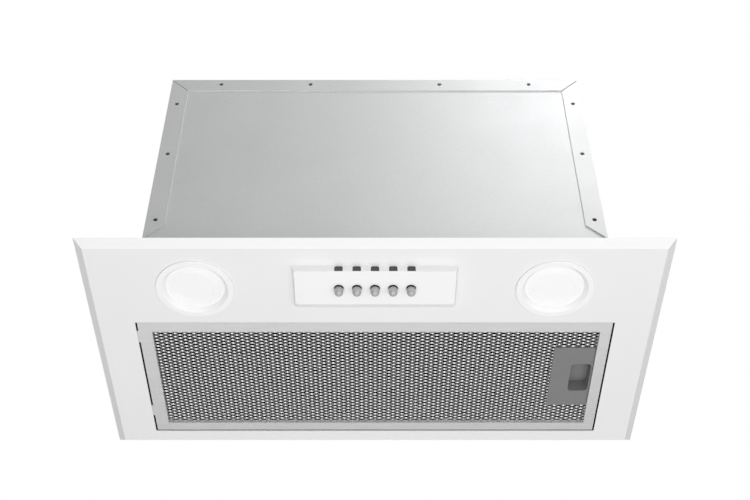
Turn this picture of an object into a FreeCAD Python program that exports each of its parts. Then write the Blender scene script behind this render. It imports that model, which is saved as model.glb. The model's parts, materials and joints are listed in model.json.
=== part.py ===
import FreeCAD, Part
import math
import os

# Under cabinet range hood, a built-in canopy insert. Millimetres, +Z up as installed, front towards -Y.
# The origin is the middle of the fascia rim, on the plane that seats against the cabinet's underside.

os.makedirs("parts", exist_ok=True)
V = FreeCAD.Vector
X_AXIS, Y_AXIS, Z_AXIS = V(1, 0, 0), V(0, 1, 0), V(0, 0, 1)

# ---------------------------------------------------------------- driving dimensions

# fascia: a white pan with a bevelled rim
RIM_WIDTH, RIM_DEPTH = 530.0, 290.0
RIM_DROP = 6.2
RIM_BEVEL = 7.7
FASCIA_SHEET = 1.0
SEAT_LIP = 15.0
FACE_Z = -RIM_DROP
FASCIA_TOP = FACE_Z + FASCIA_SHEET

# filter opening in the fascia
OPEN_HALF_X = 223.4
OPEN_FRONT, OPEN_REAR = -41.7, 122.0
OPEN_FLANGE_TOP = 2.0

# screws, whose heads are multiples of the shank's radius, and rivets
SMALL_SCREW_R, FINE_SCREW_R = 1.9, 1.4
HEAD_WIDTH, HEAD_HEIGHT = 1.85, 0.9
HOLE_SLACK = 0.05
RIVET_R, RIVET_HEAD_R, RIVET_HEAD = 1.6, 3.2, 0.9

# plenum tray: the shallow box that passes through the cabinet's cut-out
TRAY_HALF_X, TRAY_HALF_Y = 245.0, 125.0
TRAY_TOP = 20.0
TRAY_SHEET = 0.8
TRAY_FOOT = 6.0
TRAY_MOUTH_X, TRAY_MOUTH_Y = 200.0, 116.0
SIDE_SCREW_Y, SIDE_SCREW_Z, SIDE_SCREW_R = 80.0, 10.0, 2.25

# galvanised housing
BOX_HALF_X, BOX_HALF_Y = 209.4, 125.0
BOX_TOP = 257.7
SHEET = 1.0
FLANGE = 17.9
MITRE_GAP = 1.6
FOOT_FLANGE = 8.0
FLANGE_HOLE_R = 2.1
TOP_HOLES_X = (66.4, 158.5)
TOP_HOLES_DROP = 7.6
SIDE_HOLES_IN = 8.9
SIDE_HOLES_Z = (45.0, 138.7, 217.5)
RIVETS_X, RIVETS_Y = (-110.0, 0.0, 110.0), (-90.0, 0.0, 90.0)
WIRE_HOLE_R = 6.0

# duct collar and back-draught flaps
COLLAR_Y = 30.0
COLLAR_R, COLLAR_WALL = 74.5, 2.0
COLLAR_HEIGHT = 45.0
COLLAR_FLANGE_R, COLLAR_FLANGE = 90.0, 2.0
COLLAR_SEAT = 4.5
COLLAR_SCREW_R = 83.5
FLAP_R, FLAP_SHEET, FLAP_GAP = 71.3, 1.2, 0.3
FLAP_PIN_Y, FLAP_PIN_R = 4.0, 1.5
FLAP_PIN_Z = BOX_TOP + 5.3
KNUCKLES_X, KNUCKLE_R, KNUCKLE_HALF = (-50.0, 0.0, 50.0), 2.9, 6.0
RIBS_X, RIB_NEAR, RIB_FAR, RIB_HEIGHT = (-25.0, 25.0), 6.0, 52.0, 3.0
RUNNING = 0.05

# fan scroll: four arcs whose radius grows by one step each quarter turn
FAN_Y, FAN_Z = -32.0, 128.0
SCROLL_HALF = 54.0
SCROLL_R, SCROLL_STEP = 96.0, 9.0
SCROLL_TONGUE_Y = 20.0
SCROLL_TOP = BOX_TOP - SHEET - 0.5
SCROLL_SHEET = 1.0
INLET_HOLE_R, INLET_R, INLET_FLANGE_R = 56.0, 52.0, 64.0

# angle brackets that hang the scroll from the roof
BRACKET_SCREWS_Y = (12.0, 44.0)
BRACKET_SCREW_Z = 244.0
BRACKET_Y0, BRACKET_Y1 = 4.0, 52.0
BRACKET_SHEET = 1.5
BRACKET_LEG, BRACKET_ARM = 22.0, 46.0

# impeller
IMPELLER_R, BLADE_INNER_R, BLADE_MIDDLE_R = 60.0, 49.0, 54.5
IMPELLER_HALF, WHEEL_RING, WHEEL_DISC = 48.0, 2.0, 2.0
BLADES, BLADE_SHEET = 36, 1.0
SHAFT_R = 4.0
HUB_R, HUB_X0, HUB_X1 = 13.0, -10.0, 18.0
HUB_SCREW_X, HUB_SCREW_R, HUB_SOCKET_R = 10.0, 2.0, 0.9

# motor, its three-armed bracket and its capacitor
MOTOR_X, MOTOR_LENGTH, MOTOR_R = 68.0, 62.0, 42.0
MOTOR_BORE = 45.0
MOTOR_SCREW_R, FOOT_SCREW_R = 32.0, 75.0
ARM_ANGLES = (60, 180, 300)
ARM_WIDTH, ARM_SHEET = 14.0, 2.0
ARM_LEG_R, ARM_FOOT = 70.0, 10.0
ARM_RING_R, ARM_RING_BORE_R = 44.0, 16.0
CAP_R, CAP_X, CAP_Y, CAP_Z0, CAP_Z1 = 15.0, -186.0, 60.0, 100.0, 165.0
CLIP_Z0, CLIP_Z1, CLIP_SHEET = 124.0, 140.0, 1.5

# electrical box on the roof and its cable gland
TERM_X0, TERM_X1 = -195.0, -115.0
TERM_Y0, TERM_Y1 = 38.0, 108.0
TERM_HEIGHT, TERM_WALL = 32.0, 2.0
TERM_WIRE_IN = 14.0
GLAND_R, GLAND_BORE_R = 8.0, 4.0
GLAND_NUT_R, GLAND_HEX = 11.0, 6.0

# lamp driver under the roof
DRIVER_X, DRIVER_Y = (110.0, 190.0), (62.0, 102.0)
DRIVER_DROP, DRIVER_EAR = 24.0, 3.0

# lamps
LAMP_X, LAMP_Y = 162.8, -87.5
LAMP_RING_R, LAMP_RING_IN_R = 35.5, 30.3
LAMP_SLEEVE_R, LAMP_SLEEVE_IN_R, LAMP_SLEEVE_TOP = 30.4, 28.8, 10.0
LAMP_PROUD = 1.8
LAMP_LIP_R, LAMP_LENS_R, LAMP_FLANGE_R = 27.0, 26.8, 28.5
LAMP_LIP_Z, LAMP_LENS_Z, LAMP_SEAT_Z, LAMP_MODULE_Z = -4.6, -4.6, -3.9, -2.4
LENS_RIDGES, LENS_RIDGE_HALF, LENS_RIDGE = (18.0, 20.0, 22.0, 24.0), 0.4, 0.25

# control box with five push buttons: upright front, drafted sides, ramped rear
CTRL_HALF_X, CTRL_DRAFT = 72.0, 2.0
CTRL_FRONT, CTRL_REAR, CTRL_RAMP = -116.5, -74.0, 11.4
CTRL_BOTTOM = -13.2
CTRL_WALL, CTRL_RAMP_WALL = 2.0, 3.8
CTRL_CORNER = 2.2
BOSS_X, BOSS_R = CTRL_HALF_X - 9.0, 3.5
BUTTONS = 5
BUTTON_PITCH, BUTTON_Y, BUTTON_HOLE_R = 16.2, -95.0, 4.45
BUTTON_TRAVEL = 3.0
WINDOW_WIDTH, WINDOW_CORNER = 7.5, 1.8
WINDOW_LOW, WINDOW_HIGH = CTRL_BOTTOM + 0.4, FACE_Z - 0.15
INSERT_RECESS, INSERT_DEPTH = 0.4, 5.0

# push button: radii, and depths below the face of the control box
NECK_R, RING_R, GROOVE_R, NOSE_R = 3.0, 3.9, 3.4, 4.0
NECK_DEPTH, RING_DEPTH, GROOVE_DEPTH, NOSE_DEPTH = 1.5, 2.7, 3.3, 4.9
STOP_R = 5.2
PLUNGER_R, PLUNGER_TOP = 2.0, -1.0

# switches, their plate behind the fascia and their board
SWITCH_LOW, SWITCH_HIGH = -6.5, 14.0
SWITCH_HALF_X, SWITCH_HALF_Y = 6.7, 12.0
SWITCH_PLATE, SWITCH_PLATE_X, SWITCH_BORDER = 1.2, 80.0, 4.0
BOARD_SHEET = 1.6

# grease filter cassette
FILTER_HALF_X = 221.6
FILTER_FRONT, FILTER_REAR = -41.3, 119.9
RAIL_LEFT, RAIL_RIGHT = 12.3, 10.3
RAIL_FRONT, RAIL_REAR = 12.5, 11.5
RAIL_SHEET, RAIL_BACK_SHORT = 1.0, 3.0
RAIL_TOP = 3.8
MESH_Z = -2.4
MESH_SHEET = 1.0
PACK_TOP = RAIL_TOP - RAIL_SHEET
TAB_WIDTH, TAB_OUT = 15.7, 5.0
TABS_Y = (-20.85, 90.15)

# filter latch: a plate, and a slider whose cup is the finger pocket
LATCH_X0, LATCH_X1 = 171.3, 211.0
LATCH_Y0, LATCH_Y1 = -3.2, 82.4
LATCH_FACE, LATCH_BACK = -3.6, -1.4
LATCH_WALL = 1.2
POCKET_X0, POCKET_X1 = 190.0, 209.5
POCKET_Y0, POCKET_Y1 = 20.3, 60.6
POCKET_TOP, POCKET_WALL, POCKET_R = 9.4, 1.5, 4.0
NOSE_Y0, NOSE_Y1 = 34.0, 46.0
NOSE_Z0, NOSE_Z1 = -1.2, 2.2
NOSE_END_GAP = 0.5
SLIDE_GAP = 0.15
SLIDE_FLANGE, SLIDE_FLANGE_TOP = 3.2, 0.2
GUIDE_GAP, GUIDE_LIP, GUIDE_START = 0.3, 2.0, 8.0
SPRING_X0, SPRING_Z = LATCH_X0 + 1.4, 3.4
SPRING_R, SPRING_WIRE, SPRING_TURNS = 3.0, 0.4, 6


# ---------------------------------------------------------------- helpers

def save(name, *solids):
    """Write one node, a single solid or a group of separate ones."""
    shape = solids[0] if len(solids) == 1 else Part.makeCompound(list(solids))
    shape.exportStep("parts/" + name + ".step")


def block(x0, x1, y0, y1, z0, z1):
    return Part.makeBox(x1 - x0, y1 - y0, z1 - z0, V(x0, y0, z0))


def mirrored_block(side, x0, x1, y0, y1, z0, z1):
    """A block given on the +X side, placed on the side asked for."""
    return block(x0, x1, y0, y1, z0, z1) if side > 0 else block(-x1, -x0, y0, y1, z0, z1)


def rod(radius, start, end):
    """A round bar between two points."""
    return Part.makeCylinder(radius, (end - start).Length, start, end - start)


def pipe(outer, inner, start, end):
    return rod(outer, start, end).cut(rod(inner, start, end))


def prism(points, thickness):
    """A flat outline of points, swept by a vector."""
    wire = Part.makePolygon(list(points) + [points[0]])
    return Part.Face(wire).extrude(thickness)


def rounded_block(x0, x1, y0, y1, z0, z1, radius):
    """A block with its four upright edges rounded."""
    body = block(x0, x1, y0, y1, z0, z1)
    upright = [e for e in body.Edges if abs(e.tangentAt(e.FirstParameter).z) > 0.9]
    return body.makeFillet(radius, upright)


def half_turn(shape):
    """The same shape, turned 180 degrees about the upright axis."""
    return shape.rotated(V(0, 0, 0), Z_AXIS, 180)


def turned(profile, centre, axis):
    """A profile of (radius, height) points, turned about an upright or sideways axis through centre."""
    across = Z_AXIS if axis is X_AXIS else X_AXIS
    points = [centre + across * r + axis * h for r, h in profile]
    wire = Part.makePolygon(points + [points[0]])
    return Part.Face(wire).revolve(centre, axis, 360)


def screw(tip, head, radius):
    """A pan-head screw with a cross slot, whose head sits on the point head and whose shank ends at tip."""
    out = (head - tip).normalize()
    head_radius, crown = radius * HEAD_WIDTH, head + out * (radius * HEAD_HEIGHT)
    body = rod(radius, tip, head).fuse(rod(head_radius, head, crown))
    width = depth = radius * 0.32
    slot = Part.makeBox(head_radius * 1.3, width, depth, V(-head_radius * 0.65, -width / 2, -depth))
    cross = slot.fuse(slot.rotated(V(0, 0, 0), Z_AXIS, 90))
    cross.Placement = FreeCAD.Placement(crown, FreeCAD.Rotation(Z_AXIS, out))
    return body.cut(cross)


def drill(shape, radius, *spans):
    """Cut round holes, each span a start and an end point."""
    return shape.cut([rod(radius, start, end) for start, end in spans])


def screw_holes(shape, radius, *spans):
    """Cut clearance holes for screws or rivets of one radius."""
    return drill(shape, radius + HOLE_SLACK, *spans)


def upright_spans(places, z0, z1):
    """Spans between two heights at each (x, y) place."""
    return [(V(x, y, z0), V(x, y, z1)) for x, y in places]


# ---------------------------------------------------------------- fascia and tray

def rim_rectangle(inset, z):
    x, y = RIM_WIDTH / 2 - inset, RIM_DEPTH / 2 - inset
    return Part.makePolygon([V(-x, -y, z), V(x, -y, z), V(x, y, z), V(-x, y, z), V(-x, -y, z)])


def fascia_panel():
    slope = RIM_BEVEL / RIM_DROP
    wall_run = FASCIA_SHEET / math.sin(math.atan2(RIM_DROP, RIM_BEVEL))
    outer = Part.makeLoft([rim_rectangle(0, 0), rim_rectangle(RIM_BEVEL, FACE_Z)], True, True)
    inner = Part.makeLoft(
        [
            rim_rectangle(slope * FASCIA_SHEET + wall_run, -FASCIA_SHEET),
            rim_rectangle(slope * -FASCIA_TOP + wall_run, FASCIA_TOP),
        ],
        True,
        True,
    )
    lip_x, lip_y = RIM_WIDTH / 2 - SEAT_LIP, RIM_DEPTH / 2 - SEAT_LIP
    panel = outer.cut([inner, block(-lip_x, lip_x, -lip_y, lip_y, -FASCIA_SHEET, 0)])
    panel = panel.cut(block(-OPEN_HALF_X, OPEN_HALF_X, OPEN_FRONT, OPEN_REAR, FACE_Z, FASCIA_TOP))
    flange_y = OPEN_FRONT - FASCIA_SHEET
    panel = panel.fuse(block(-OPEN_HALF_X, OPEN_HALF_X, flange_y, OPEN_FRONT, FACE_Z, OPEN_FLANGE_TOP))
    panel = panel.cut(switch_cutout(FACE_Z, FASCIA_TOP))
    lamps = upright_spans([(-LAMP_X, LAMP_Y), (LAMP_X, LAMP_Y)], FACE_Z, FASCIA_TOP)
    return drill(panel, LAMP_SLEEVE_R + 0.6, *lamps).removeSplitter()


def switch_cutout(z0, z1):
    """The hole behind the control box that the switches stand in."""
    x = CTRL_HALF_X - SWITCH_BORDER
    return block(-x, x, CTRL_FRONT + SWITCH_BORDER, CTRL_REAR - SWITCH_BORDER, z0, z1)


def tray_rivet_places():
    """Where the housing's bottom flanges are riveted to the tray."""
    side_x = BOX_HALF_X - SHEET - FOOT_FLANGE / 2
    end_y = BOX_HALF_Y - 2 * SHEET - FOOT_FLANGE / 2
    sides = [(s * side_x, y) for s in (-1, 1) for y in RIVETS_Y]
    ends = [(x, s * end_y) for s in (-1, 1) for x in RIVETS_X]
    return sides + ends


def tray_end():
    """The tray's front panel: a wall, a strip of roof and a foot on the fascia, all of them full width."""
    x, y = TRAY_HALF_X, TRAY_HALF_Y
    foot_x, foot_y = x + TRAY_FOOT, y + TRAY_FOOT
    wall = block(-x, x, -y, -y + TRAY_SHEET, FASCIA_TOP, TRAY_TOP)
    roof = block(-x, x, -y, -TRAY_MOUTH_Y, TRAY_TOP - TRAY_SHEET, TRAY_TOP)
    foot = block(-foot_x, foot_x, -foot_y, -y, FASCIA_TOP, FASCIA_TOP + TRAY_SHEET)
    return wall.fuse([roof, foot]).removeSplitter()


def tray_side():
    """The tray's left panel, which fits between the front and rear ones."""
    x, y = TRAY_HALF_X, TRAY_HALF_Y
    wall = block(-x, -x + TRAY_SHEET, -y + TRAY_SHEET, y - TRAY_SHEET, FASCIA_TOP, TRAY_TOP - TRAY_SHEET)
    roof = block(-x, -TRAY_MOUTH_X, -TRAY_MOUTH_Y, TRAY_MOUTH_Y, TRAY_TOP - TRAY_SHEET, TRAY_TOP)
    foot = block(-x - TRAY_FOOT, -x, -y, y, FASCIA_TOP, FASCIA_TOP + TRAY_SHEET)
    panel = wall.fuse([roof, foot]).removeSplitter()
    screws_y = (-SIDE_SCREW_Y, SIDE_SCREW_Y)
    spans = [(V(-x, y, SIDE_SCREW_Z), V(-x + TRAY_SHEET, y, SIDE_SCREW_Z)) for y in screws_y]
    return drill(panel, SIDE_SCREW_R, *spans)


def plenum_tray():
    """The tray's four panels, with holes for the rivets that hold the housing."""
    spans = upright_spans(tray_rivet_places(), TRAY_TOP - TRAY_SHEET, TRAY_TOP)
    front, left = tray_end(), tray_side()
    return [screw_holes(panel, RIVET_R, *spans) for panel in (front, half_turn(front), left, half_turn(left))]


def housing_rivets():
    """Pop rivets with a large head in the tray and a small one in the housing."""
    low, high = TRAY_TOP - TRAY_SHEET, TRAY_TOP + SHEET
    rivets = []
    for x, y in tray_rivet_places():
        shank = rod(RIVET_R, V(x, y, low), V(x, y, high))
        upper = rod(RIVET_HEAD_R * 0.8, V(x, y, high), V(x, y, high + RIVET_HEAD))
        lower = rod(RIVET_HEAD_R, V(x, y, low - RIVET_HEAD), V(x, y, low))
        rivets.append(shank.fuse([upper, lower]))
    return rivets


# ---------------------------------------------------------------- galvanised housing

def front_hole_places():
    """Hole centres (x, z) in the front and rear flanges."""
    top = [(s * x, BOX_TOP - TOP_HOLES_DROP) for s in (-1, 1) for x in TOP_HOLES_X]
    sides = [(s * (BOX_HALF_X - SIDE_HOLES_IN), z) for s in (-1, 1) for z in SIDE_HOLES_Z]
    return top + sides


def drill_flanges(shape):
    reach = BOX_HALF_Y + 1
    inside = BOX_HALF_Y - 3 * SHEET
    spans = [(V(x, s * inside, z), V(x, s * reach, z)) for s in (-1, 1) for x, z in front_hole_places()]
    return drill(shape, FLANGE_HOLE_R, *spans)


def housing_side(side):
    """A side sheet with mitred flanges folded over the front and rear sheets."""
    inner, end_y = BOX_HALF_X - FLANGE, BOX_HALF_Y
    low, high = TRAY_TOP, BOX_TOP - MITRE_GAP
    panel = mirrored_block(side, BOX_HALF_X - SHEET, BOX_HALF_X, -end_y, end_y, low, BOX_TOP - SHEET)
    outline = ((BOX_HALF_X, low), (BOX_HALF_X, high), (inner, high - FLANGE), (inner, low + FLANGE))
    for y in (-end_y, end_y - SHEET):
        corners = [V(side * x, y, z) for x, z in outline]
        panel = panel.fuse(prism(corners, V(0, SHEET, 0)))
    foot_x, foot_y = BOX_HALF_X - SHEET, end_y - 2 * SHEET
    panel = panel.fuse(mirrored_block(side, foot_x - FOOT_FLANGE, foot_x, -foot_y, foot_y, low, low + SHEET))
    return rivet_holes(drill_flanges(panel.removeSplitter()))


def rivet_holes(shape):
    return screw_holes(shape, RIVET_R, *upright_spans(tray_rivet_places(), TRAY_TOP, TRAY_TOP + SHEET))


def housing_end(end):
    """The front or rear sheet, behind the flanges, with a foot folded inwards."""
    outside = end * (BOX_HALF_Y - SHEET)
    inside = end * (BOX_HALF_Y - 2 * SHEET)
    y0, y1 = min(outside, inside), max(outside, inside)
    x = BOX_HALF_X - SHEET - 0.1
    sheet = block(-x, x, y0, y1, TRAY_TOP, BOX_TOP - SHEET)
    foot_edge = inside - end * FOOT_FLANGE
    foot_x = BOX_HALF_X - SHEET - FOOT_FLANGE - 1
    foot = block(-foot_x, foot_x, min(inside, foot_edge), max(inside, foot_edge), TRAY_TOP, TRAY_TOP + SHEET)
    return rivet_holes(drill_flanges(sheet.fuse(foot).removeSplitter()))


def housing_top():
    """The roof, with mitred flanges folded down at the front and rear."""
    roof = block(-BOX_HALF_X, BOX_HALF_X, -BOX_HALF_Y, BOX_HALF_Y, BOX_TOP - SHEET, BOX_TOP)
    inner, low = BOX_HALF_X - FLANGE, BOX_TOP - FLANGE
    outline = ((-BOX_HALF_X, BOX_TOP), (BOX_HALF_X, BOX_TOP), (inner, low), (-inner, low))
    for y in (-BOX_HALF_Y, BOX_HALF_Y - SHEET):
        corners = [V(x, y, z) for x, z in outline]
        roof = roof.fuse(prism(corners, V(0, SHEET, 0)))
    roof = drill_flanges(roof.removeSplitter())
    under = BOX_TOP - SHEET
    roof = drill(roof, COLLAR_R - COLLAR_WALL, (collar_axis(under), collar_axis(BOX_TOP)))
    roof = drill(roof, WIRE_HOLE_R, *upright_spans([term_wire_place()], under, BOX_TOP))
    places = collar_screw_places() + bracket_screw_places() + term_screw_places() + driver_screw_places()
    return screw_holes(roof, SMALL_SCREW_R, *upright_spans(places, under, BOX_TOP))


# ---------------------------------------------------------------- duct collar and flaps

def collar_screw_places():
    angles = [math.radians(45 + 90 * i) for i in range(4)]
    return [(COLLAR_SCREW_R * math.cos(a), COLLAR_Y + COLLAR_SCREW_R * math.sin(a)) for a in angles]


def collar_axis(z):
    return V(0, COLLAR_Y, z)


def duct_collar():
    """The collar's base, with a seat and a cross bar for the flaps, and the tube that stands on it."""
    bore = COLLAR_R - COLLAR_WALL
    seat_r, seat_top, top = bore - COLLAR_SEAT, BOX_TOP + COLLAR_FLANGE, BOX_TOP + COLLAR_HEIGHT
    base = pipe(COLLAR_FLANGE_R, seat_r, collar_axis(BOX_TOP), collar_axis(seat_top))
    bar_x, bar_y = seat_r + 2, FLAP_PIN_Y + 1
    base = base.fuse(block(-bar_x, bar_x, COLLAR_Y - bar_y, COLLAR_Y + bar_y, BOX_TOP, seat_top))
    base = screw_holes(base, SMALL_SCREW_R, *upright_spans(collar_screw_places(), BOX_TOP, seat_top))
    tube = pipe(COLLAR_R, bore, collar_axis(seat_top), collar_axis(top))
    for pin_y in (COLLAR_Y - FLAP_PIN_Y, COLLAR_Y + FLAP_PIN_Y):
        span = (V(-COLLAR_R - 1, pin_y, FLAP_PIN_Z), V(COLLAR_R + 1, pin_y, FLAP_PIN_Z))
        tube = drill(tube, FLAP_PIN_R + 0.02, span)
    return [base.removeSplitter(), tube]


def collar_screws():
    seat = BOX_TOP + COLLAR_FLANGE
    return [screw(V(x, y, BOX_TOP - 4), V(x, y, seat), SMALL_SCREW_R) for x, y in collar_screw_places()]


def damper_pins():
    reach = COLLAR_R - 0.8
    rows = (COLLAR_Y - FLAP_PIN_Y, COLLAR_Y + FLAP_PIN_Y)
    return [rod(FLAP_PIN_R, V(-reach, y, FLAP_PIN_Z), V(reach, y, FLAP_PIN_Z)) for y in rows]


def damper_flap(side):
    """Half a disc that hangs on its pin, side -1 at the front and 1 at the rear."""
    low = BOX_TOP + COLLAR_FLANGE + FLAP_GAP
    pin_y = COLLAR_Y + side * FLAP_PIN_Y
    far_y = COLLAR_Y + side * (FLAP_R + 1)
    half = block(-FLAP_R, FLAP_R, min(pin_y, far_y), max(pin_y, far_y), low, low + FLAP_SHEET)
    flap = rod(FLAP_R, collar_axis(low), collar_axis(low + FLAP_SHEET)).common(half)
    for x in KNUCKLES_X:
        ends = (V(x - KNUCKLE_HALF, pin_y, FLAP_PIN_Z), V(x + KNUCKLE_HALF, pin_y, FLAP_PIN_Z))
        flap = flap.fuse(rod(KNUCKLE_R, *ends))
    rib_y = sorted((pin_y + side * RIB_NEAR, pin_y + side * RIB_FAR))
    for x in RIBS_X:
        flap = flap.fuse(block(x - 1, x + 1, *rib_y, low, low + RIB_HEIGHT))
    span = (V(-FLAP_R, pin_y, FLAP_PIN_Z), V(FLAP_R, pin_y, FLAP_PIN_Z))
    return drill(flap, FLAP_PIN_R + RUNNING, span).removeSplitter()


# ---------------------------------------------------------------- fan scroll

def fan_point(x, y, z):
    """A point given from the fan's axis."""
    return V(x, FAN_Y + y, FAN_Z + z)


def scroll_outline(grow, x):
    """The scroll's section at x, grown outwards, closed across its outlet."""
    half = SCROLL_STEP / 2
    centres = ((half, half), (half, -half), (-half, -half), (-half, half))
    radii = [SCROLL_R - i * SCROLL_STEP + grow for i in range(4)]
    top = SCROLL_TOP - FAN_Z
    outer_y = half + radii[0]
    tongue_y = SCROLL_TONGUE_Y - grow
    tongue_angle = math.acos((tongue_y - centres[3][0]) / radii[3])
    sweeps = ((0, -90), (-90, -180), (-180, -270), (-270, -360 + math.degrees(tongue_angle)))
    edges = [Part.makeLine(fan_point(x, outer_y, top), fan_point(x, outer_y, half))]
    last = None
    for (cy, cz), radius, (start, end) in zip(centres, radii, sweeps):
        points = []
        for angle in (start, (start + end) / 2, end):
            a = math.radians(angle)
            points.append(fan_point(x, cy + radius * math.cos(a), cz + radius * math.sin(a)))
        edges.append(Part.Arc(*points).toShape())
        last = points[2]
    corner = fan_point(x, tongue_y, top)
    edges.append(Part.makeLine(last, corner))
    edges.append(Part.makeLine(corner, fan_point(x, outer_y, top)))
    return Part.Face(Part.Wire(edges))


def scroll_wrap():
    length = V(2 * SCROLL_HALF, 0, 0)
    outer = scroll_outline(SCROLL_SHEET, -SCROLL_HALF).extrude(length)
    return outer.cut(scroll_outline(0, -SCROLL_HALF).extrude(length))


def scroll_side(side):
    inner = side * SCROLL_HALF
    plate = scroll_outline(SCROLL_SHEET, inner).extrude(V(side * SCROLL_SHEET, 0, 0))
    edge = side * (SCROLL_HALF + SCROLL_SHEET)
    plate = drill(plate, INLET_HOLE_R, (fan_point(inner, 0, 0), fan_point(edge, 0, 0)))
    spans = []
    if side > 0:
        spans += [(fan_point(inner, y, z), fan_point(edge, y, z)) for y, z in arm_points(FOOT_SCREW_R)]
    spans += [(V(inner, y, BRACKET_SCREW_Z), V(edge, y, BRACKET_SCREW_Z)) for y in BRACKET_SCREWS_Y]
    return screw_holes(plate, SMALL_SCREW_R, *spans)


def inlet_ring(side):
    face = SCROLL_HALF + SCROLL_SHEET
    lip = 1.5
    profile = (
        (INLET_R, face - 5),
        (INLET_R + lip, face - 5),
        (INLET_R + lip, face),
        (INLET_FLANGE_R, face),
        (INLET_FLANGE_R, face + lip),
        (INLET_R + 3, face + lip),
        (INLET_R + 1, face + 0.6),
        (INLET_R, face - 1),
    )
    return turned([(r, side * h) for r, h in profile], fan_point(0, 0, 0), X_AXIS)


def bracket_screw_places():
    x = SCROLL_HALF + SCROLL_SHEET + BRACKET_ARM - 6
    return [(s * x, y) for s in (-1, 1) for y in BRACKET_SCREWS_Y]


def scroll_brackets():
    """Two angle brackets that hang the scroll from the roof."""
    face = SCROLL_HALF + SCROLL_SHEET
    roof = BOX_TOP - SHEET
    span_y = (BRACKET_Y0, BRACKET_Y1)
    brackets = []
    for side in (-1, 1):
        leg = mirrored_block(side, face, face + BRACKET_SHEET, *span_y, roof - BRACKET_LEG, roof)
        arm = mirrored_block(side, face, face + BRACKET_ARM, *span_y, roof - BRACKET_SHEET, roof)
        bracket = leg.fuse(arm).removeSplitter()
        x0, x1 = side * face, side * (face + BRACKET_SHEET)
        spans = [(V(x0, y, BRACKET_SCREW_Z), V(x1, y, BRACKET_SCREW_Z)) for y in BRACKET_SCREWS_Y]
        spans += upright_spans(bracket_screw_places(), roof - BRACKET_SHEET, roof)
        brackets.append(screw_holes(bracket, SMALL_SCREW_R, *spans))
    return brackets


def scroll_screws():
    screws = []
    face = SCROLL_HALF + SCROLL_SHEET + BRACKET_SHEET
    for side in (-1, 1):
        for y in BRACKET_SCREWS_Y:
            tip = V(side * (SCROLL_HALF - 3), y, BRACKET_SCREW_Z)
            screws.append(screw(tip, V(side * face, y, BRACKET_SCREW_Z), SMALL_SCREW_R))
    return screws


# ---------------------------------------------------------------- impeller and motor

def polar(radius, angle):
    return radius * math.cos(angle), radius * math.sin(angle)


def impeller_blade(start):
    """One forward-curved blade, an arc plate between the wheel's two end rings."""
    stations = ((BLADE_INNER_R, 0.0), (BLADE_MIDDLE_R, 0.03), (IMPELLER_R - 0.4, 0.12))
    near = [polar(r, start + a) for r, a in stations]
    far = [polar(r, start + a + BLADE_SHEET / r) for r, a in stations]
    half = IMPELLER_HALF - WHEEL_RING
    near = [fan_point(-half, y, z) for y, z in near]
    far = [fan_point(-half, y, z) for y, z in far]
    edges = [
        Part.Arc(*near).toShape(),
        Part.makeLine(near[2], far[2]),
        Part.Arc(far[2], far[1], far[0]).toShape(),
        Part.makeLine(far[0], near[0]),
    ]
    return Part.Face(Part.Wire(edges)).extrude(V(2 * half, 0, 0))


def impeller():
    """A crimped wheel: blades through slots in a centre disc on a hub, with a ring at each end."""
    blades = [impeller_blade(2 * math.pi * i / BLADES) for i in range(BLADES)]
    rings = []
    for x in (-IMPELLER_HALF, IMPELLER_HALF - WHEEL_RING):
        rings.append(pipe(IMPELLER_R, BLADE_INNER_R - 1, fan_point(x, 0, 0), fan_point(x + WHEEL_RING, 0, 0)))
    half = WHEEL_DISC / 2
    disc = rod(IMPELLER_R - 0.2, fan_point(-half, 0, 0), fan_point(half, 0, 0)).cut(blades)
    hub_start, hub_end = fan_point(HUB_X0, 0, 0), fan_point(HUB_X1, 0, 0)
    centre = disc.fuse(rod(HUB_R, hub_start, hub_end)).removeSplitter()
    centre = drill(centre, SHAFT_R + 0.02, (hub_start, hub_end))
    screw_axis = (fan_point(HUB_SCREW_X, 0, 0), fan_point(HUB_SCREW_X, 0, HUB_R))
    return [drill(centre, HUB_SCREW_R + 0.02, screw_axis), *rings, *blades]


def hub_screw():
    body = rod(HUB_SCREW_R, fan_point(HUB_SCREW_X, 0, SHAFT_R + 0.1), fan_point(HUB_SCREW_X, 0, HUB_R))
    return drill(body, HUB_SOCKET_R, (fan_point(HUB_SCREW_X, 0, HUB_R - 2), fan_point(HUB_SCREW_X, 0, HUB_R)))


def motor_shaft():
    end = MOTOR_X + MOTOR_BORE - 1
    return rod(SHAFT_R, fan_point(HUB_X0 - 2, 0, 0), fan_point(end, 0, 0))


def motor_body():
    rear = MOTOR_X + MOTOR_LENGTH
    profile = (
        (0, MOTOR_X),
        (MOTOR_R - 3, MOTOR_X),
        (MOTOR_R, MOTOR_X + 3),
        (MOTOR_R, MOTOR_X + 20),
        (MOTOR_R - 2, MOTOR_X + 21),
        (MOTOR_R - 2, MOTOR_X + 41),
        (MOTOR_R, MOTOR_X + 42),
        (MOTOR_R, rear - 4),
        (MOTOR_R - 4, rear),
        (14, rear),
        (14, rear + 4),
        (0, rear + 4),
    )
    body = turned(profile, fan_point(0, 0, 0), X_AXIS)
    body = drill(body, SHAFT_R + RUNNING, (fan_point(MOTOR_X, 0, 0), fan_point(MOTOR_X + MOTOR_BORE, 0, 0)))
    spans = [(fan_point(MOTOR_X, y, z), fan_point(MOTOR_X + 9, y, z)) for y, z in arm_points(MOTOR_SCREW_R)]
    return screw_holes(body, SMALL_SCREW_R, *spans)


def arm_points(radius):
    return [polar(radius, math.radians(a)) for a in ARM_ANGLES]


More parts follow.
